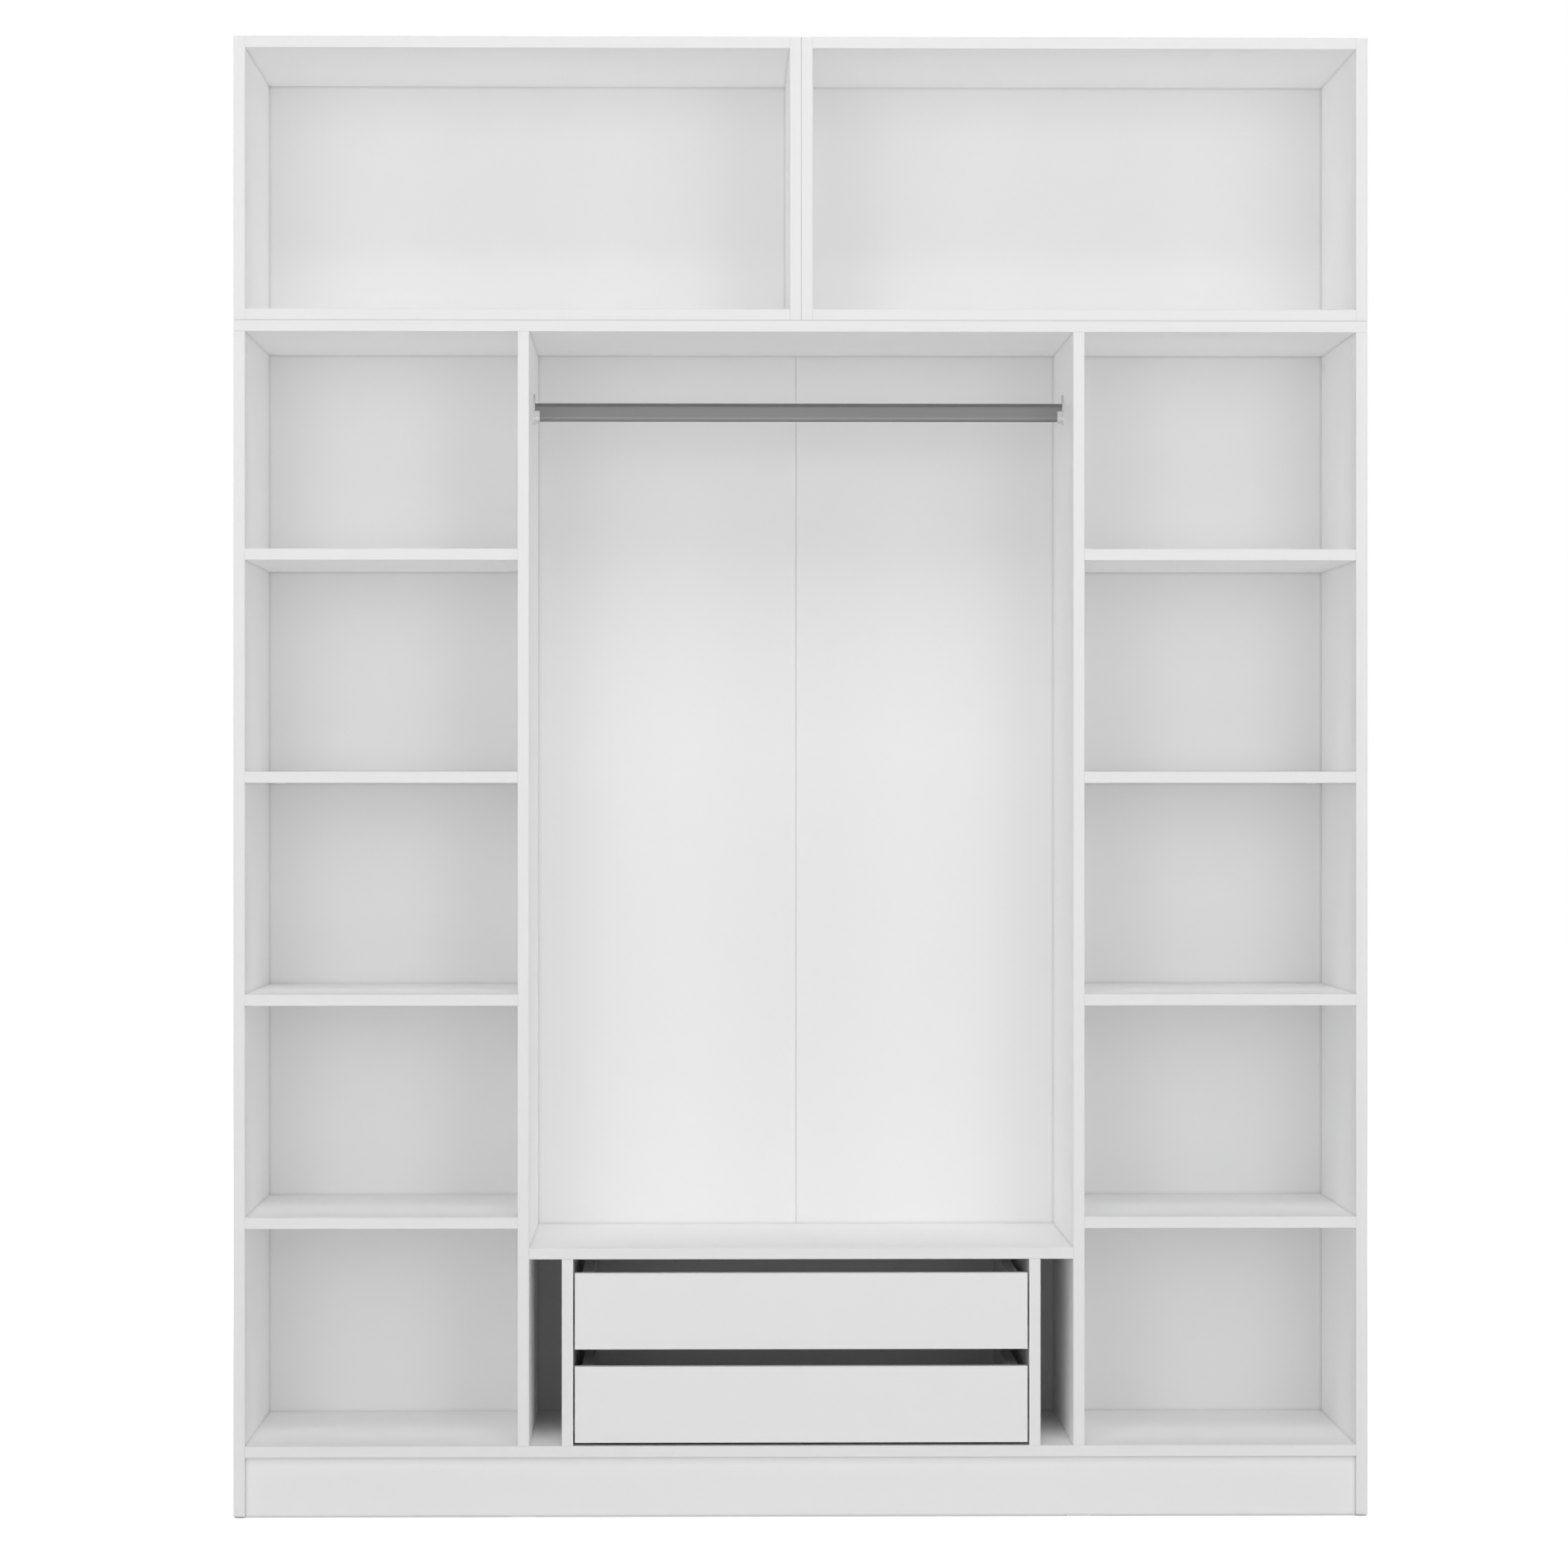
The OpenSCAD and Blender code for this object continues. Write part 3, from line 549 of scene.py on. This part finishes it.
def cap_tree():
    """Round cap with a raised, chamfered rim on each point, facing along its facing attribute."""
    tree = bpy.data.node_groups.new("cam_caps", "GeometryNodeTree")
    tree.interface.new_socket("Geometry", in_out="INPUT", socket_type="NodeSocketGeometry")
    for name in ("Radius", "Plate", "Dome"):
        tree.interface.new_socket(name, in_out="INPUT", socket_type="NodeSocketFloat")
    tree.interface.new_socket("Finish", in_out="INPUT", socket_type="NodeSocketMaterial")
    tree.interface.new_socket("Geometry", in_out="OUTPUT", socket_type="NodeSocketGeometry")
    web = Web(tree)
    given = web.node("NodeGroupInput")
    plate = web.node("GeometryNodeMeshCylinder", {"fill_type": "NGON"}, {
        "Vertices": CAP_FACETS, "Radius": given.of("Radius"), "Depth": given.of("Plate")}, "Mesh")
    domed = web.node("GeometryNodeExtrudeMesh", {"mode": "FACES"}, {
        "Mesh": plate, "Selection": plate.of("Top"), "Offset Scale": given.of("Dome")}, "Mesh")
    cap = web.node("GeometryNodeScaleElements", {"domain": "FACE"}, {
        "Geometry": domed, "Selection": domed.of("Top"), "Scale": CAP_FACE_SHARE})
    raised = web.node("ShaderNodeCombineXYZ", sockets={"Z": given.of("Plate") * 0.5})
    cap = web.node("GeometryNodeTransform", sockets={"Geometry": cap, "Translation": raised})
    facing = web.node("GeometryNodeInputNamedAttribute", {"data_type": "FLOAT_VECTOR"}, {"Name": "facing"})
    turned = web.node("FunctionNodeAlignRotationToVector", {"axis": "Z"}, {"Vector": facing})
    placed = web.node("GeometryNodeInstanceOnPoints", sockets={
        "Points": given, "Instance": cap, "Rotation": turned})
    whole = web.node("GeometryNodeRealizeInstances", sockets={"Geometry": placed})
    done = web.node("GeometryNodeSetMaterial", sockets={"Geometry": whole, "Material": given.of("Finish")})
    web.node("NodeGroupOutput", sockets={"Geometry": done})
    return tree


def grown(name, points, tree, inputs, body):
    """Run a geometry tree on points with a facing, and keep its mesh as one piece that rides on a body."""
    seed = bpy.data.meshes.new(name + "_points")
    seed.from_pydata([p for p, _ in points], [], [])
    facing = seed.attributes.new("facing", "FLOAT_VECTOR", "POINT")
    for entry, (_, way) in zip(facing.data, points):
        entry.vector = way
    carrier = bpy.data.objects.new(name + "_points", seed)
    bpy.context.scene.collection.objects.link(carrier)
    modifier = carrier.modifiers.new("grow", "NODES")
    modifier.node_group = tree
    for item in tree.interface.items_tree:
        if item.in_out == "INPUT" and item.name in inputs:
            modifier[item.identifier] = inputs[item.name]
    bpy.context.view_layer.update()
    mesh = bpy.data.meshes.new_from_object(carrier.evaluated_get(bpy.context.evaluated_depsgraph_get()))
    carrier.modifiers.remove(modifier)
    bpy.data.objects.remove(carrier)
    mesh.name = name
    if "facing" in mesh.attributes:
        mesh.attributes.remove(mesh.attributes["facing"])
    piece = bpy.data.objects.new(name, mesh)
    bpy.context.scene.collection.objects.link(piece)
    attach(piece, body)


def add_camera():
    data = bpy.data.cameras.new("camera")
    data.sensor_fit = "HORIZONTAL"
    data.sensor_width = SENSOR
    data.lens = SENSOR * FOCAL_SHARE
    data.clip_end = 100
    camera = bpy.data.objects.new("camera", data)
    camera.location = EYE
    camera.rotation_euler = (math.pi / 2 + PITCH, 0, -YAW)
    bpy.context.scene.collection.objects.link(camera)
    bpy.context.scene.camera = camera


# Softboxes: name, place, what it points at, width, height, watts
SOFTBOXES = (
    ("front_left", (-2.3, -6.5, 2.0), (0.0, 0.0, 1.2), 2.6, 3.0, 49.5),
    ("front_right", (2.3, -6.5, 2.0), (0.0, 0.0, 1.2), 2.6, 3.0, 49.5),
    ("far_left", (-3.0, -14.0, 2.2), (0.0, 0.0, 1.2), 2.6, 4.0, 91.0),
    ("far_right", (3.0, -14.0, 2.2), (0.0, 0.0, 1.2), 2.6, 4.0, 91.0),
    ("front_high", (0.0, -4.5, 4.2), (0.0, 0.0, 1.2), 5.0, 3.0, 33.0),
    ("front_overhead", (0.0, -4.2, 5.6), (0.0, 0.0, 1.2), 2.5, 2.0, 78.0),
    ("front_low", (0.0, -3.0, 0.25), (0.0, 0.0, 2.2), 5.0, 0.6, 2.2),
    ("left", (-4.5, -3.6, 1.8), (0.0, 0.0, 1.2), 2.5, 3.5, 30.0),
    ("right", (4.5, -3.6, 1.8), (0.0, 0.0, 1.2), 2.5, 3.5, 30.0),
    ("rear_left", (-4.0, 5.0, 4.6), (0.0, 0.0, 1.2), 3.0, 3.0, 165.0),
    ("rear_right", (4.0, 5.0, 4.6), (0.0, 0.0, 1.2), 3.0, 3.0, 165.0),
)
AMBIENT = 0.02

# Floor: half its width, its grey, its glow near the wardrobe and its lower glow under it, which paints shade
# there, the softness of that painted shade's edge, and where the glow gets full
FLOOR_REACH = 30.0
FLOOR_GREY = 0.8
FLOOR_GLOW = 0.65
UNDER_SHADE_GLOW = 0.52
UNDER_SHADE_SOFTNESS = 0.01
STUDIO_REACH = (2.5, 6.0)

# White insides need many bounces
DIFFUSE_BOUNCES = 12


def add_softbox(name, place, aim, width, height, watts):
    """A rectangular lamp that lights but isn't seen itself."""
    data = bpy.data.lights.new(name, "AREA")
    data.shape = "RECTANGLE"
    data.size = width
    data.size_y = height
    data.energy = watts
    lamp = bpy.data.objects.new(name, data)
    lamp.location = place
    lamp.rotation_euler = (Vector(aim) - Vector(place)).to_track_quat("-Z", "Y").to_euler()
    lamp.visible_camera = False
    lamp.visible_glossy = False
    bpy.context.scene.collection.objects.link(lamp)


def seen_share(web):
    """1 for rays that show the surroundings: from the camera, in a reflection or through glass."""
    path = web.node("ShaderNodeLightPath", out="Is Camera Ray")
    return path.larger(path.of("Is Glossy Ray")).larger(path.of("Is Transmission Ray"))


def add_world():
    world = bpy.data.worlds.new("studio")
    world.use_nodes = True
    world.node_tree.nodes.clear()
    web = Web(world.node_tree)
    seen = seen_share(web)
    ambient = web.node("ShaderNodeBackground", sockets={"Color": grey(1.0), "Strength": AMBIENT})
    white = web.node("ShaderNodeBackground", sockets={"Color": grey(1.0), "Strength": 1.0})
    both = web.node("ShaderNodeMixShader", sockets={0: seen, 1: ambient, 2: white})
    web.node("ShaderNodeOutputWorld", sockets={"Surface": both})
    bpy.context.scene.world = world


def add_floor():
    material = bpy.data.materials.new("floor")
    material.use_nodes = True
    material.node_tree.nodes.clear()
    web = Web(material.node_tree)
    matt = web.node("ShaderNodeBsdfDiffuse", sockets={"Color": grey(FLOOR_GREY)})
    place = web.node("ShaderNodeTexCoord", out="Object")
    away = web.node("ShaderNodeVectorMath", {"operation": "LENGTH"}, {0: place}, "Value")
    split = web.node("ShaderNodeSeparateXYZ", sockets={0: place})
    high = cad_bounds[1]
    # Under the wardrobe's footprint the glow is lower: painted shade under the wardrobe and in the gap under
    # the plinth.
    beside = abs(split).step(high[0] - UNDER_SHADE_SOFTNESS, high[0])
    before = abs(split.of("Y")).step(high[1] - UNDER_SHADE_SOFTNESS, high[1])
    glow_and_under_shade = UNDER_SHADE_GLOW + (FLOOR_GLOW - UNDER_SHADE_GLOW) * beside.larger(before)
    strength = glow_and_under_shade + (1 - FLOOR_GLOW) * away.step(*STUDIO_REACH)
    seen = seen_share(web)
    glow = web.node("ShaderNodeEmission", sockets={"Color": grey(1.0), "Strength": seen * strength})
    both = web.node("ShaderNodeAddShader", sockets={0: matt, 1: glow})
    web.node("ShaderNodeOutputMaterial", sockets={"Surface": both})
    mesh = bpy.data.meshes.new("floor")
    far = FLOOR_REACH
    corners = [(-far, -far, 0), (far, -far, 0), (far, far, 0), (-far, far, 0)]
    mesh.from_pydata(corners, [], [(0, 1, 2, 3)])
    mesh.materials.append(material)
    floor = bpy.data.objects.new("floor", mesh)
    bpy.context.scene.collection.objects.link(floor)


add_camera()
add_world()
add_floor()
for box in SOFTBOXES:
    add_softbox(*box)
bpy.context.scene.view_settings.view_transform = "Standard"
bpy.context.scene.cycles.diffuse_bounces = DIFFUSE_BOUNCES
bpy.context.scene.cycles.max_bounces = DIFFUSE_BOUNCES + 4

dress_frame()
cap_inputs = {
    "Radius": CAP_RADIUS,
    "Plate": CAP_PLATE,
    "Dome": CAP_DOME,
    "Finish": plastic_finish("cap_plastic", 0.93, 0.3),
}
grown("cam_caps", cam_faces(), cap_tree(), cap_inputs, "cabinet")
